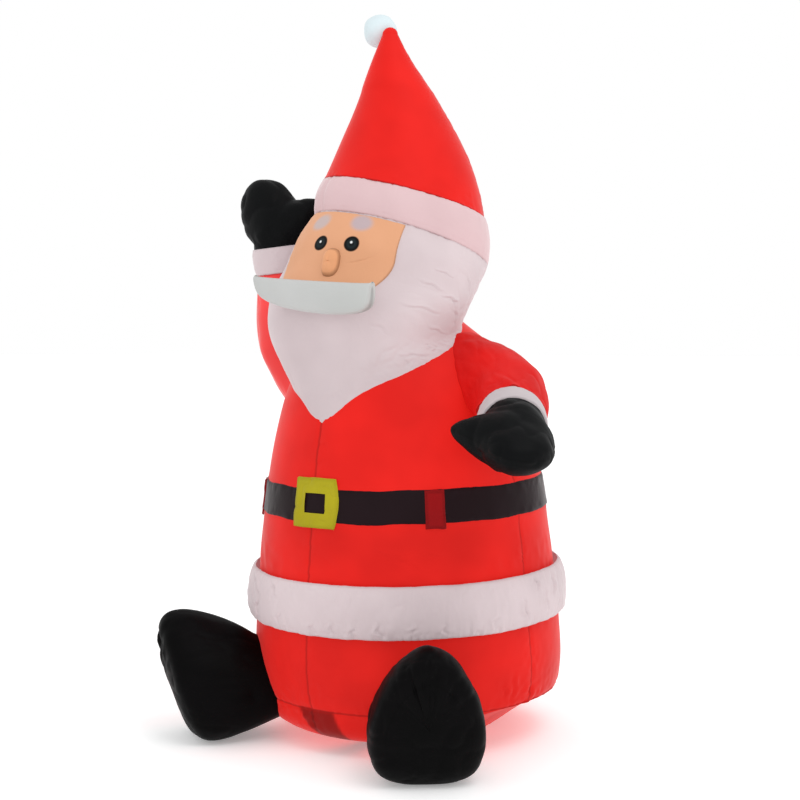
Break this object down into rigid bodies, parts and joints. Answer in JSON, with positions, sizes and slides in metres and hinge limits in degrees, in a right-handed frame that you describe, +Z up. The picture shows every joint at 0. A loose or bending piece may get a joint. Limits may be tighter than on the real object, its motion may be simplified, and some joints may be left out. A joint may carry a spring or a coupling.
{
  "type": "inflatable santa",
  "caption": "Seated air-blown Santa with a raised waving mitten, tall pointed hat, crescent moustache, belt with a square buckle and boots with their soles facing out.",
  "frame": {"origin": "on the floor, at the middle of the body's flat underside", "axes": "+Z up, -Y the way the figure faces, +X towards its left hand"},
  "size_m": [0.7351, 0.6112, 1.2073],
  "materials": {
    "red_nylon": "thin coated polyester, satin, lit from inside",
    "black_nylon": "thin coated polyester, satin, lets no light through",
    "white_nylon": "thin coated polyester, satin, lit from inside",
    "yellow_nylon": "thin coated polyester, satin",
    "dark_red_nylon": "thin coated polyester, satin, two layers deep",
    "peach_nylon": "thin coated polyester, satin, lit from inside",
    "grey_white_plush": "short smooth fabric over stuffing, unlit"
  },
  "bodies": {
    "root": {"body": "red_nylon", "belt": "black_nylon", "hem_trim": "white_nylon", "buckle": "yellow_nylon", "belt_loop_left": "dark_red_nylon", "belt_loop_right": "dark_red_nylon", "head": "white_nylon", "face": "peach_nylon", "nose": "peach_nylon", "moustache": "grey_white_plush", "hat_band": "white_nylon", "hat": "red_nylon", "pompom": "grey_white_plush", "sleeve_right": "red_nylon", "cuff_right": "white_nylon", "mitten_right": "black_nylon", "sleeve_left": "red_nylon", "cuff_left": "white_nylon", "mitten_left": "black_nylon", "boot_right": "black_nylon", "boot_left": "black_nylon"}
  },
  "joints": []
}
